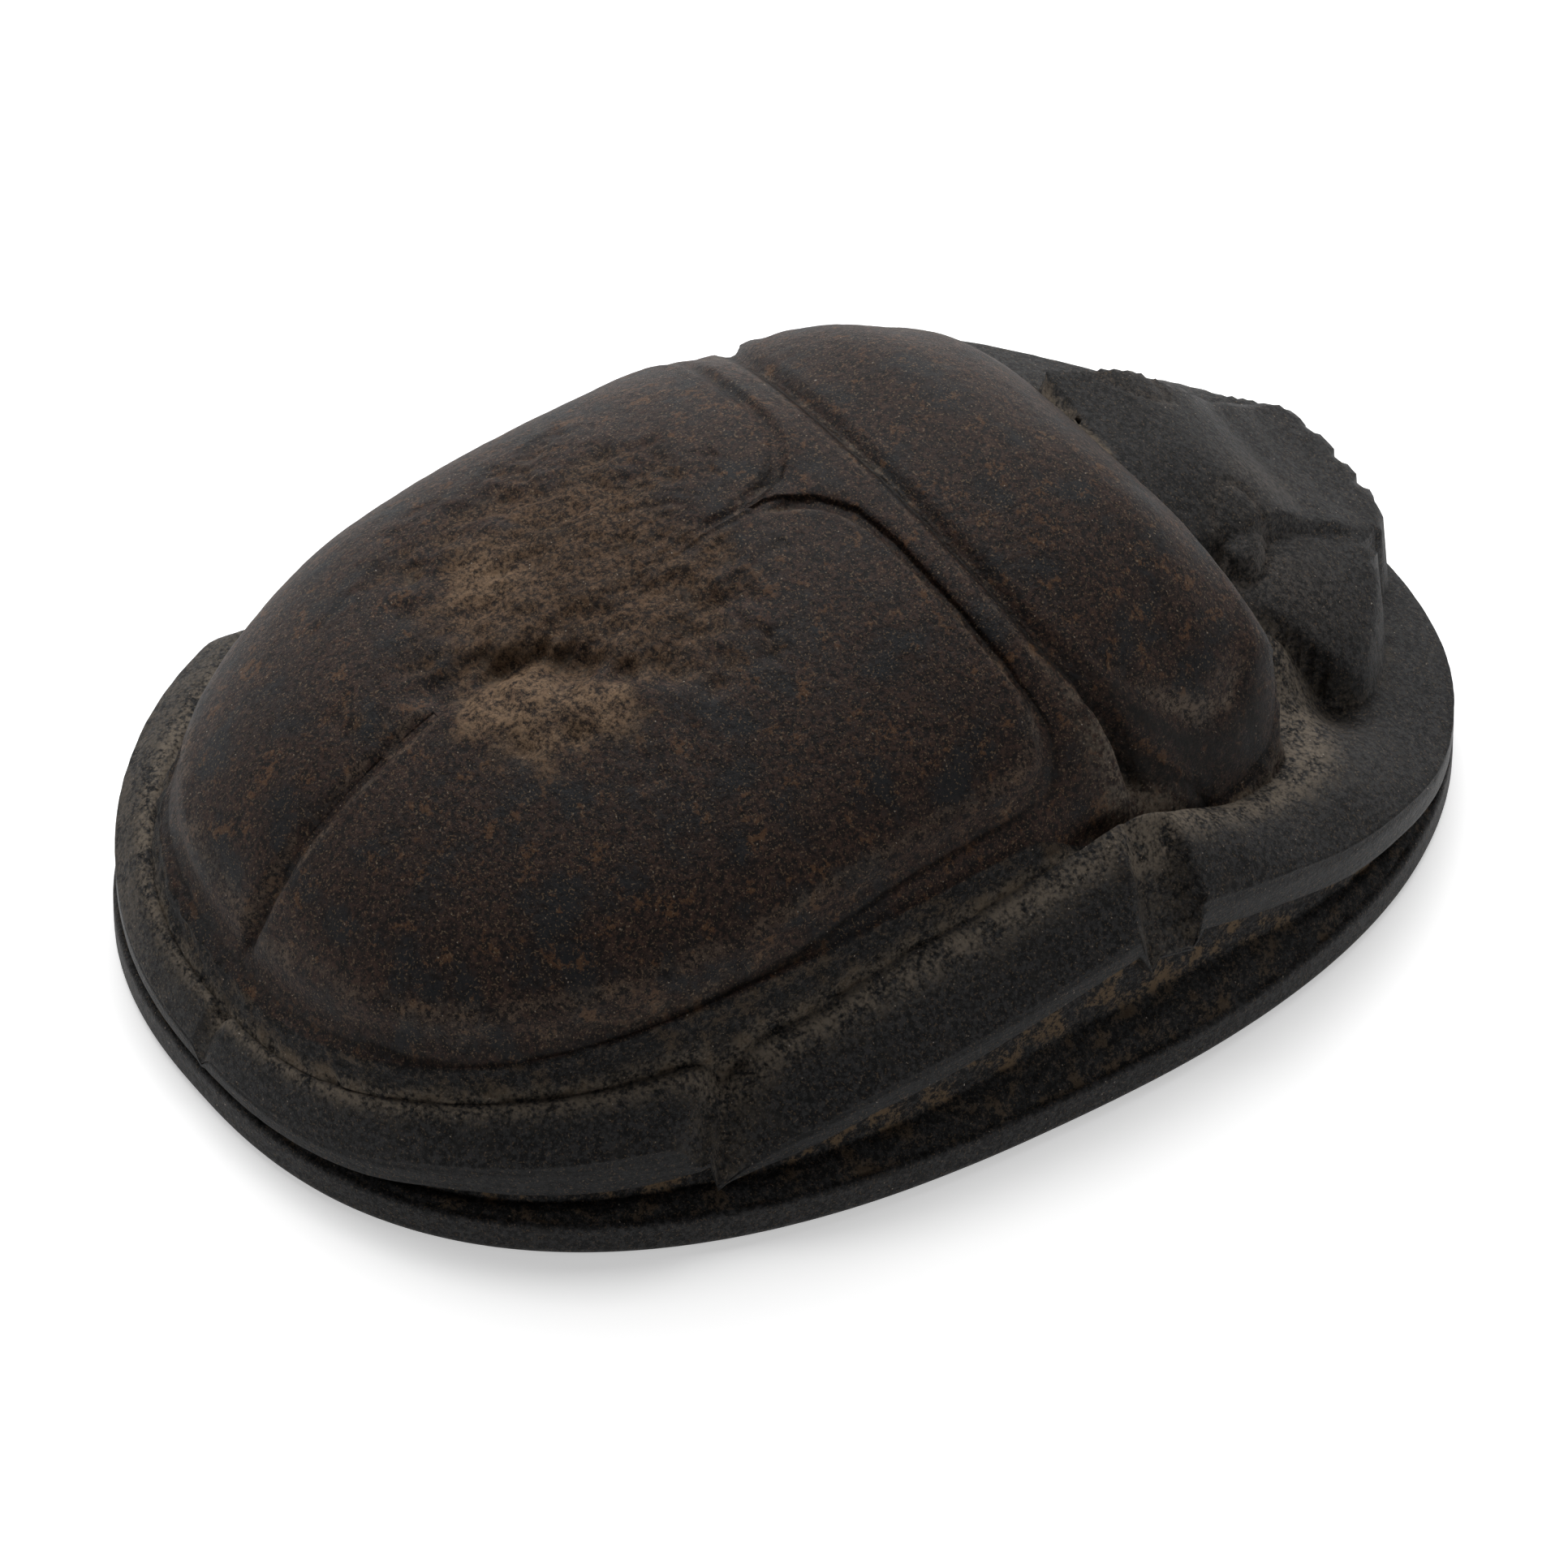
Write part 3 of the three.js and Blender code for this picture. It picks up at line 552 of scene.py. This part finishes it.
def column(turn):
    """One column of the skin, from the crown down: x, y, z, zone, share of the zone, and carving."""
    rim = plate_oval(turn, 0)
    inset = leg_inset(rim.y)
    edge = plate_oval(turn, inset)
    way = (edge - CROWN).normalized()
    foot = reach(inside_body, CROWN, way)
    edge_height = leg_height(edge.x, edge.y)
    edge_top = edge_height - leg_cuts(edge.x, edge.y)
    facet_low = min(edge_height - facet_height(edge.y), edge_top - 0.15)
    ledge_top = min(ledge_height(edge.y), facet_low - 0.2)
    ridge = max(leg_ridge_height(foot.y), edge_height + 0.2)
    flange = carved_back(foot.x, foot.y) - BODY_EDGE_ROUND
    root = foot + way * WALL_SPREAD
    root_top = min(over_leg(root, ridge, edge, edge_height, 0), flange - 0.25)
    wall = plate_oval(turn, inset + WAIST_DEPTH)
    ledge = plate_oval(turn, LEDGE_INSET)
    points = []

    def run(count, zone, path):
        for step in range(count):
            share = (step + 1) / count
            at, height, *lift = path(share)
            points.append((at.x, at.y, height, zone, share, *(lift or [0])))

    def dome(share):
        at = CROWN.lerp(foot, share)
        rounded = BODY_EDGE_ROUND * ease(1 - (foot - at).length / 0.4)
        return at, carved_back(at.x, at.y) - rounded, back_lift(at.x, at.y)

    def body_wall(share):
        return foot.lerp(root, share), flange + (root_top - flange) * share

    def band(share):
        return root.lerp(edge, share), over_leg(root, ridge, edge, edge_height, share)

    def outer_facet(share):
        rounded = 0.15 * ease(1 - share / 0.35)
        at = edge.lerp(CROWN, rounded / (edge - CROWN).length)
        return at, edge_top + (facet_low - edge_top) * share

    def undercut(share):
        return edge.lerp(wall, share), facet_low - UNDERCUT_DROP * share

    def waist(share):
        top = facet_low - UNDERCUT_DROP
        return wall, top + (ledge_top - top) * share

    def ledge_slope(share):
        swell = LEDGE_SWELL * math.sin(math.pi * share)
        return wall.lerp(ledge, share), ledge_top + (RIM_HEIGHT - ledge_top) * share + swell

    def rim_face(share):
        if share < RIM_TOP_SHARE:
            quarter = share / RIM_TOP_SHARE * math.pi / 2
            at = plate_oval(turn, LEDGE_INSET * (1 - math.sin(quarter)))
            return at, RIM_HEIGHT - LEDGE_INSET * (1 - math.cos(quarter))
        if share < RIM_FACE_SHARE:
            level = (share - RIM_TOP_SHARE) / (RIM_FACE_SHARE - RIM_TOP_SHARE)
            return rim, RIM_HEIGHT - LEDGE_INSET + (RIM_ROUND - RIM_HEIGHT + LEDGE_INSET) * level
        quarter = (share - RIM_FACE_SHARE) / (1 - RIM_FACE_SHARE) * math.pi / 2
        at = plate_oval(turn, RIM_ROUND * (1 - math.cos(quarter)))
        return at, RIM_ROUND * (1 - math.sin(quarter))

    def underside(share):
        return plate_oval(turn, RIM_ROUND).lerp(CROWN, share), 0.0

    run(DOME_ROWS, "back", dome)
    run(WALL_ROWS, "wall", body_wall)
    run(BAND_ROWS, "leg", band)
    run(FACET_ROWS, "facet", outer_facet)
    run(UNDERCUT_ROWS, "waist", undercut)
    run(WAIST_ROWS, "waist", waist)
    run(LEDGE_ROWS, "ledge", ledge_slope)
    run(RIM_ROWS, "rim", rim_face)
    run(UNDERSIDE_ROWS, "underside", underside)
    return points


columns = [column(turn) for turn in even_turns(COLUMNS)]
crown_height = carved_back(CROWN.x, CROWN.y)
crown_lift = back_lift(CROWN.x, CROWN.y)

skin = bmesh.new()
bmesh.ops.create_uvsphere(skin, u_segments=COLUMNS, v_segments=ROWS, radius=1)
mask_names = (
    "brown", "break", "pale", "rubbed", "lined", "pecked_and_cheek_shade",
    "facet", "crumbs", "dusty", "hollow", "wing_line", "thorax_line",
)
masks = {name: skin.verts.layers.float.new(name) for name in mask_names}
skin.verts.ensure_lookup_table()
traces = []
for vertex in skin.verts:
    row = round(math.acos(between(vertex.co.z, -1, 1)) / math.pi * ROWS)
    side = round(math.atan2(vertex.co.y, vertex.co.x) / (2 * math.pi) * COLUMNS) % COLUMNS
    if row == 0:
        x, y, z, *trace = CROWN.x, CROWN.y, crown_height, "back", 0, crown_lift
    else:
        x, y, z, *trace = columns[side][row - 1]
    traces.append(trace)
    vertex.co = (x, y, z)

# Wear and tool marks: the polished skin undulates a little, and what was only pecked to
# depth, such as the walls, the waist and its ledge, is rough.
ROUGHNESS = {
    "back": 0.02, "wall": 0.15, "leg": 0.02, "facet": 0.012, "waist": 0.1, "ledge": 0.07, "rim": 0.01,
}
BREAK_ROUGHNESS = 0.07
CUT_ROUGHNESS = 0.05
WAVE = 0.05
skin.normal_update()
shifts = []
for vertex, (zone, _, lift) in zip(skin.verts, traces):
    x, y, z = vertex.co
    rough = ROUGHNESS.get(zone, 0)
    if zone == "back":
        rough += BREAK_ROUGHNESS * broken(x, y)
    if zone == "leg":
        rough += CUT_ROUGHNESS * between(leg_cuts(x, y))
    wave = WAVE * noise.noise(vertex.co / 5.0)
    peck = rough * noise.fractal(vertex.co / 0.7, 0.8, 2.2, 3)
    fade = {"rim": 0.3, "underside": 0}.get(zone, 1)
    shifts.append(vertex.normal * (lift + (wave + peck) * fade))
for vertex, shift in zip(skin.verts, shifts):
    x, y, z = vertex.co + shift
    x = between(x, low_corner.x, high_corner.x)
    y = between(y, low_corner.y, high_corner.y)
    vertex.co = Vector((x, y, between(z, 0, high_corner.z))) * MILLIMETRE
for face in skin.faces:
    face.smooth = True

# Masks that the finish follows, one value for each point of the skin. A point is hollow where
# its neighbours stand above it, and OFF_THE_BACK keeps the incised lines off the other zones.
OFF_THE_BACK = -3
skin.normal_update()
neighbours = [[edge.other_vert(vertex).index for edge in vertex.link_edges] for vertex in skin.verts]
places = [vertex.co.copy() for vertex in skin.verts]
hollow = []
for vertex, around in zip(skin.verts, neighbours):
    middle = sum((places[i] for i in around), Vector()) / len(around)
    spread = sum((places[i] - vertex.co).length for i in around) / len(around)
    hollow.append((middle - vertex.co).dot(vertex.normal) / max(spread, 1e-6))
for _ in range(2):
    hollow = [
        (value + sum(hollow[i] for i in around)) / (1 + len(around))
        for value, around in zip(hollow, neighbours)
    ]
for vertex, (zone, share, _), hollowness in zip(skin.verts, traces, hollow):
    x, y = vertex.co.x / MILLIMETRE, vertex.co.y / MILLIMETRE
    wing, thorax = inside_wing_case(x, y), inside_thorax(x, y)
    bare = 1 - ease(0.5 + inside_head(x, y))
    beside_thorax = ease((y - 4) / 3) * bare
    dusty = 0.0
    if zone == "leg":
        dusty = bare * bump(share - 0.2, 0.2) * (1 - 0.3 * beside_thorax)
        dusty += 0.6 * beside_thorax * bump(share, 0.35)
        dusty += 0.25 * between(leg_cuts(x, y) / 0.6)
        dusty += 0.4 * between(-x / 8) * between(-y / 10)
    if zone == "wall":
        dusty = 0.7 * ease((share - 0.45) / 0.4)
    if zone == "back":
        dusty = ease(-0.2 - 1.4 * max(thorax, wing + 0.4)) * beside_thorax
    vertex[masks["brown"]] = {"back": 1, "wall": 0.7 * beside_thorax}.get(zone, 0)
    vertex[masks["break"]] = max(broken(x, y), 0.9 * pale(x, y)) if zone == "back" else 0
    granular = 0.5 * ease((head_middle_side(y) - abs(x)) / 0.4) * ease((21.8 - y) / 1.2) * (1 - bare)
    # The hollow under each head plate joins the pecked mask, so that the dark speckles of pecked stone
    # paint shade into it.
    vertex[masks["pecked_and_cheek_shade"]] = 1 if zone in ("wall", "waist", "ledge") else max(granular, cheek(x, y))
    vertex[masks["pale"]] = pale(x, y)
    vertex[masks["rubbed"]] = rubbed(x, y)
    vertex[masks["lined"]] = 1 - left_front(x, y)
    vertex[masks["facet"]] = 1 if zone == "facet" else 0
    vertex[masks["crumbs"]] = {"waist": 1, "ledge": 0.5, "wall": 0.35}.get(zone, 0)
    vertex[masks["dusty"]] = between(dusty)
    vertex[masks["wing_line"]] = wing + 4 * broken(x, y) if zone == "back" else OFF_THE_BACK
    vertex[masks["thorax_line"]] = thorax if zone == "back" else OFF_THE_BACK
    vertex[masks["hollow"]] = hollowness

mesh = bpy.data.meshes.new("scarab_stone")
skin.to_mesh(mesh)
skin.free()
scarab = bpy.data.objects.new("scarab_stone", mesh)
bpy.context.collection.objects.link(scarab)

# ---- Finish of the stone --------------------------------------------------------------------
# A near-black fine-grained stone, weathered brown on the back, with blue-grey blotches, ochre
# and pale mineral grains, pale dust in the carving, and striated facets a little smoother.
# Painted shade also darkens the incised lines and the hollows under the head plates, and painted
# highlights lie as pale lines along the raised edges.
stone = bpy.data.materials.new("dark_scarab_stone")
stone.use_nodes = True
tree = stone.node_tree
tree.nodes.clear()


class Value:
    """A number that changes over the surface; sums and products add their Math nodes."""

    def __init__(self, socket):
        self.socket = socket

    def _maths(self, operation, *values):
        return node("ShaderNodeMath", {"operation": operation}, dict(enumerate(values)))

    def __add__(self, other):
        return self._maths("ADD", self, other)

    def __radd__(self, other):
        return self._maths("ADD", other, self)

    def __sub__(self, other):
        return self._maths("SUBTRACT", self, other)

    def __rsub__(self, other):
        return self._maths("SUBTRACT", other, self)

    def __mul__(self, other):
        return self._maths("MULTIPLY", self, other)

    def __rmul__(self, other):
        return self._maths("MULTIPLY", other, self)


def node(kind, settings, sockets, output=0):
    """Adds a shader node: its settings first, then the values or links of its sockets."""
    made = tree.nodes.new(kind)
    for name, setting in settings.items():
        setattr(made, name, setting)
    for name, value in sockets.items():
        if isinstance(value, Value):
            tree.links.new(value.socket, made.inputs[name])
        else:
            made.inputs[name].default_value = value
    return Value(made.outputs[output])


def mask(name):
    return node("ShaderNodeAttribute", {"attribute_name": name}, {}, "Fac")


def ramp(value, low, high):
    """0 below low, 1 above high, smooth between."""
    return node("ShaderNodeMapRange", {"interpolation_type": "SMOOTHSTEP"}, {0: value, 1: low, 2: high})


# The Mix node keeps its colours on its seventh and eighth sockets, and gives one on its third.
MIX_FIRST, MIX_SECOND, MIX_RESULT = 6, 7, 2


def blend(share, first, second):
    """A colour mixed from two colours by a share."""
    colours = {
        0: share,
        MIX_FIRST: first if isinstance(first, Value) else (*first, 1),
        MIX_SECOND: second if isinstance(second, Value) else (*second, 1),
    }
    return node("ShaderNodeMix", {"data_type": "RGBA"}, colours, MIX_RESULT)


place = node("ShaderNodeTexCoord", {}, {}, "Object")


def grain(scale, detail=2.0, roughness=0.6, where=place):
    """Noise with so many grains to the metre, about 0.5 on average."""
    sockets = {"Vector": where, "Scale": scale, "Detail": detail, "Roughness": roughness}
    return node("ShaderNodeTexNoise", {}, sockets, "Fac")


brown = mask("brown")
cracked = mask("break")
flaked = mask("pale")
handled = mask("rubbed")
lined = mask("lined")
pecked_and_cheek_shade = mask("pecked_and_cheek_shade")
facet = mask("facet")
crumbs = mask("crumbs")
dusty = mask("dusty")
hollowness = mask("hollow")
inside_wing_line = mask("wing_line")
inside_thorax_line = mask("thorax_line")
flattened = node("ShaderNodeVectorMath", {"operation": "MULTIPLY"}, {0: place, 1: (1, 1, 14)}, "Vector")

tiny = grain(10000, 1)
fine = grain(5000)
grit = grain(4200, 5, 0.8)
medium = grain(2800, 3)
coarse = grain(900, 3)
blotch = grain(420, 3, 0.55)
strokes = grain(450, where=flattened)


def line_at(distance, middle, half_width):
    """A soft line where a distance passes a value: 1 along its middle, 0 beyond its width."""
    wavering = distance - middle + 0.25 * (coarse - 0.5)
    off = node("ShaderNodeMath", {"operation": "ABSOLUTE"}, {0: wavering})
    return 1 - ramp(off, 0, half_width)


# Soft lines along the carving. The grooves below are darkened as painted shade, and the lines on the
# raised edges are lightened as painted highlights.
wing_groove = line_at(inside_wing_line, -WING_LINE_OFFSET, 0.18) * lined
wing_edge_highlight = line_at(inside_wing_line, 0.2, 0.34) * lined
thorax_groove = line_at(inside_thorax_line, -0.28, 0.24)
collar_edge_highlight = line_at(inside_thorax_line, -0.75, 0.25)

sideways = node("ShaderNodeSeparateXYZ", {}, {"Vector": place}, "X")
from_spine = node("ShaderNodeMath", {"operation": "ABSOLUTE"}, {0: sideways})
outer_end = ramp(from_spine, SADDLE_START_X * MILLIMETRE, (SADDLE_START_X + 2) * MILLIMETRE)
# Near the thorax's outer ends: a line that is lightened as a painted highlight and also cut as a fine
# bump groove, and a band nearer the edge that is darkened as painted shade.
thorax_end = line_at(inside_thorax_line, 1.0, 0.4) * outer_end
thorax_lip_shade = line_at(inside_thorax_line, 0.3, 0.5) * outer_end

charcoal = blend(ramp(grit, 0.44, 0.58), (0.0032, 0.0033, 0.0036), (0.029, 0.0284, 0.0288))
charcoal = blend(ramp(coarse, 0.5, 0.7) * 0.4, charcoal, (0.018, 0.0165, 0.015))
warm = blend(ramp(grit, 0.44, 0.58), (0.0042, 0.0024, 0.0022), (0.041, 0.021, 0.0145))
warm = blend(ramp(blotch + 0.9 * (grit - 0.5), 0.55, 0.63) * 0.85, warm, (0.0085, 0.0102, 0.0122))
warm = blend(ramp(coarse + 0.9 * (grit - 0.5), 0.62, 0.7) * 0.8, warm, (0.085, 0.040, 0.017))
inside_stone = blend(ramp(grit, 0.42, 0.62), (0.014, 0.008, 0.005), (0.115, 0.066, 0.036))
inside_stone = blend(ramp(coarse, 0.52, 0.66) * 0.55, inside_stone, (0.012, 0.0085, 0.007))
fresh = flaked * ramp(grit + 0.5 * (coarse - 0.5), 0.36, 0.66) * 0.65
inside_stone = blend(fresh, inside_stone, (0.27, 0.175, 0.105))
colour = blend(brown, charcoal, warm)
open_stone = ramp(cracked + 1.4 * (coarse - 0.5) + 0.8 * (blotch - 0.5), 0.2, 1.0) * 0.9
colour = blend(open_stone, colour, inside_stone)
# Dark speckles on pecked stone; in the hollows under the head plates they are painted shade.
colour = blend(pecked_and_cheek_shade * (1 - crumbs) * ramp(medium, 0.35, 0.55) * 0.5, colour, (0.0035, 0.0033, 0.003))
colour = blend(facet * 0.5, colour, (0.004, 0.004, 0.0042))
colour = blend(facet * ramp(strokes, 0.4, 0.65) * 0.35, colour, (0.024, 0.024, 0.025))
colour = blend(ramp(tiny, 0.6, 0.68) * (0.35 + 0.25 * brown), colour, (0.15, 0.10, 0.058))
caught = 0.4 * ramp(hollowness + 0.2 * (coarse - 0.5), 0.04, 0.25) + 0.75 * dusty
colour = blend(caught * ramp(fine + 0.7 * (coarse - 0.5), 0.3, 0.7), colour, (0.19, 0.155, 0.118))
earth = crumbs * ramp(grit + 0.9 * (coarse - 0.5), 0.52, 0.64) * 0.8
colour = blend(earth, colour, (0.12, 0.078, 0.042))
# Painted shade: the incised lines of the wing cases and thorax, and a band just inside the thorax's
# outer ends, are darkened in colour as if shade lay in them.
painted_groove_shade = (0.5 * wing_groove + 0.8 * thorax_groove + 0.9 * thorax_lip_shade) * brown * ramp(medium, 0.3, 0.5)
colour = blend(painted_groove_shade, colour, (0.005, 0.0038, 0.003))
# Painted highlight: pale lines of light along the raised edges of the wing cases, the collar and the
# thorax's outer ends.
painted_edge_highlights = (wing_edge_highlight + 0.8 * collar_edge_highlight + 2.2 * thorax_end) * brown * ramp(coarse, 0.35, 0.6)
colour = blend(painted_edge_highlights * ramp(grit, 0.4, 0.58) * 0.6, colour, (0.115, 0.085, 0.062))
wear = ramp(0 - hollowness, 0.08, 0.35) + 1.6 * handled
colour = blend(wear * ramp(grit, 0.4, 0.6) * 0.2, colour, (0.11, 0.085, 0.065))
colour = blend(ramp(tiny, 0.78, 0.82) * 0.8, colour, (0.5, 0.48, 0.45))

roughness = 0.5 + 0.15 * medium + 0.15 * cracked + 0.15 * pecked_and_cheek_shade + 0.15 * dusty - 0.08 * facet
relief = 0.8 * grit + 0.8 * medium + 2.4 * coarse * (cracked + 0.4 * pecked_and_cheek_shade) + 0.5 * strokes * facet
lines = 1 - wing_groove - thorax_groove - 0.8 * thorax_end
incised = node("ShaderNodeBump", {}, {"Strength": 0.8, "Distance": 0.00016, "Height": lines}, "Normal")
surface = {"Strength": 0.6, "Distance": 0.00012, "Height": relief, "Normal": incised}
bumped = node("ShaderNodeBump", {}, surface, "Normal")
finish = {
    "Base Color": colour, "Roughness": roughness, "Normal": bumped,
    "IOR": 1.5, "Specular IOR Level": 0.17,
}
shader = node("ShaderNodeBsdfPrincipled", {}, finish, "BSDF")
output = tree.nodes.new("ShaderNodeOutputMaterial")
tree.links.new(shader.socket, output.inputs["Surface"])
mesh.materials.append(stone)

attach(scarab, "root")
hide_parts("scarab")

# ---- Studio -----------------------------------------------------------------------------------
# A plain white floor in a dim white tent, with one large soft light above the scarab's left side
# and front. The floor glows a little, like a light table.
FLOOR_HALF_SIZE = 3
FLOOR_GLOW = 0.47
TENT_LIGHT = 0.12
floor_mesh = bpy.data.meshes.new("studio_floor")
floor_form = bmesh.new()
bmesh.ops.create_grid(floor_form, x_segments=1, y_segments=1, size=FLOOR_HALF_SIZE)
floor_form.to_mesh(floor_mesh)
floor_form.free()
floor = bpy.data.objects.new("studio_floor", floor_mesh)
bpy.context.collection.objects.link(floor)
paint = bpy.data.materials.new("studio_white")
paint.use_nodes = True
white = paint.node_tree.nodes["Principled BSDF"].inputs
white["Base Color"].default_value = (0.9, 0.9, 0.9, 1)
white["Roughness"].default_value = 0.9
white["Emission Color"].default_value = (1, 1, 1, 1)
white["Emission Strength"].default_value = FLOOR_GLOW
floor_mesh.materials.append(paint)

world = bpy.data.worlds.new("studio_tent")
world.use_nodes = True
tent = world.node_tree.nodes["Background"].inputs
tent["Color"].default_value = (1, 1, 1, 1)
tent["Strength"].default_value = TENT_LIGHT
bpy.context.scene.world = world


def soft_light(name, position, size, power):
    """A square soft box that faces the scarab."""
    lamp = bpy.data.lights.new(name, "AREA")
    lamp.size = size
    lamp.energy = power
    lamp_object = bpy.data.objects.new(name, lamp)
    lamp_object.location = position
    lamp_object.rotation_mode = "QUATERNION"
    lamp_object.rotation_quaternion = (-Vector(position)).to_track_quat("-Z", "Y")
    bpy.context.collection.objects.link(lamp_object)


soft_light("overhead_softbox", position=(-0.33, 0.18, 0.46), size=0.7, power=5.5)

bpy.context.scene.view_settings.view_transform = "Standard"
bpy.context.scene.view_settings.look = "None"

# ---- Camera -----------------------------------------------------------------------------------
# A long lens looking down on the right flank from behind, eleven body lengths away. The body's
# length would fill 0.883 of the frame if it lay square to the lens.
VIEW_AZIMUTH = math.radians(57)
VIEW_ELEVATION = math.radians(43)
BODY_LENGTHS_AWAY = 11
LENGTH_IN_FRAME = 0.88302
VIEW_DISTANCE = BODY_LENGTHS_AWAY * (high_corner.y - low_corner.y) * MILLIMETRE
camera_data = bpy.data.cameras.new("studio_camera")
camera_data.sensor_width = 36
camera_data.lens = camera_data.sensor_width * LENGTH_IN_FRAME * BODY_LENGTHS_AWAY
camera_data.shift_x = -0.003106
camera_data.shift_y = 0.032609
camera = bpy.data.objects.new("studio_camera", camera_data)
back = Vector((
    math.sin(VIEW_AZIMUTH) * math.cos(VIEW_ELEVATION),
    -math.cos(VIEW_AZIMUTH) * math.cos(VIEW_ELEVATION),
    math.sin(VIEW_ELEVATION),
))
camera.location = back * VIEW_DISTANCE
camera.rotation_mode = "QUATERNION"
camera.rotation_quaternion = (-back).to_track_quat("-Z", "Y")
bpy.context.collection.objects.link(camera)
bpy.context.scene.camera = camera
